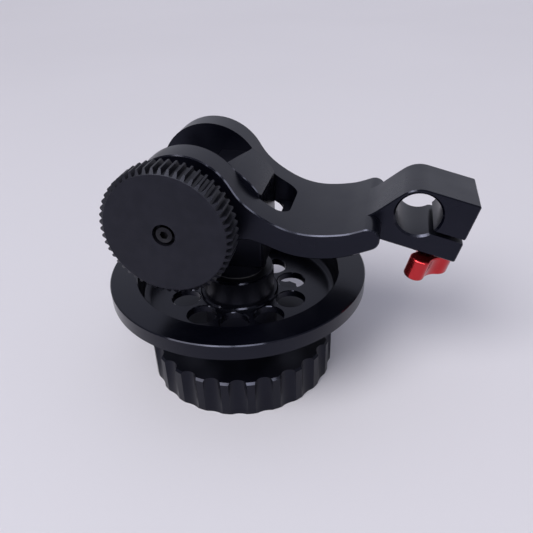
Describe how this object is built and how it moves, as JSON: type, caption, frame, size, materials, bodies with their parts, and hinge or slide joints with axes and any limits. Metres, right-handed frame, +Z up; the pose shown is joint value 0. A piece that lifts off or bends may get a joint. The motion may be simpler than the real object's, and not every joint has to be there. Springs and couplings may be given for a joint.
{
  "type": "follow focus unit",
  "caption": "Follow focus for a camera rod: a scalloped hand wheel turns a toothed lens gear through crossed screw gears, on an arm with a split rod clamp and thumb lever.",
  "frame": {"origin": "centre of the hand wheel's outer face, which the unit stands on", "axes": "+Z up along the hand wheel's axis, Y along the axes of the drive gear and the rod with the gear on the -Y side, +X along the arm towards the rod clamp"},
  "size_m": [0.1363, 0.101, 0.1008],
  "materials": {
    "black_anodised": "satin black anodised, bright edges",
    "gear_plastic": "matt, moulded",
    "red_anodised": "red anodised, satin",
    "blackened_steel": "black oxide",
    "bright_steel": "ground",
    "bronze": "turned",
    "slip_plastic": "matt"
  },
  "bodies": {
    "arm": {"swing_arm": "black_anodised", "gear_case": "black_anodised", "case_bridge": "black_anodised", "case_screws": "blackened_steel", "bearing_collar": "black_anodised", "lower_bush": "bronze", "upper_bush": "bronze", "front_bush": "bronze", "rear_bush": "bronze", "clamp_washer": "slip_plastic"},
    "hand_wheel": {"hand_knob": "black_anodised", "knob_cap": "black_anodised", "marking_disc": "black_anodised", "disc_spacer": "black_anodised", "wheel_hub": "black_anodised", "hub_screws": "blackened_steel", "wheel_screw": "blackened_steel", "wheel_screw_washer": "bright_steel", "wheel_shaft": "bright_steel", "wheel_screw_gear": "bronze", "wheel_retaining_ring": "bright_steel", "friction_washer": "slip_plastic"},
    "focus_gear": {"drive_gear": "gear_plastic", "gear_screw": "blackened_steel", "gear_drive_pin": "bright_steel", "gear_shaft": "bright_steel", "shaft_washer": "bright_steel", "shaft_end_screw": "blackened_steel", "shaft_sleeves": "bright_steel", "shaft_screw_gear": "bright_steel"},
    "thumb_lever": {"clamp_lever": "red_anodised", "clamp_stud": "blackened_steel"}
  },
  "joints": [
    {"name": "hand_wheel_spin", "type": "hinge", "parent": "arm", "child": "hand_wheel", "pos_m": [0, 0, 0.045], "axis": [0, 0, 1], "continuous": true},
    {"name": "focus_gear_spin", "type": "hinge", "parent": "arm", "child": "focus_gear", "pos_m": [-0.01188, 0, 0.0784], "axis": [0, 1, 0], "continuous": true},
    {"name": "thumb_lever_turn", "type": "hinge", "parent": "arm", "child": "thumb_lever", "pos_m": [0.07544, 0, 0.06057], "axis": [-0.2504, 0, -0.9681], "range_deg": [0, 180]}
  ],
  "couplings": [
    {"joint": "focus_gear_spin", "follows": "hand_wheel_spin", "ratio": 1}
  ]
}
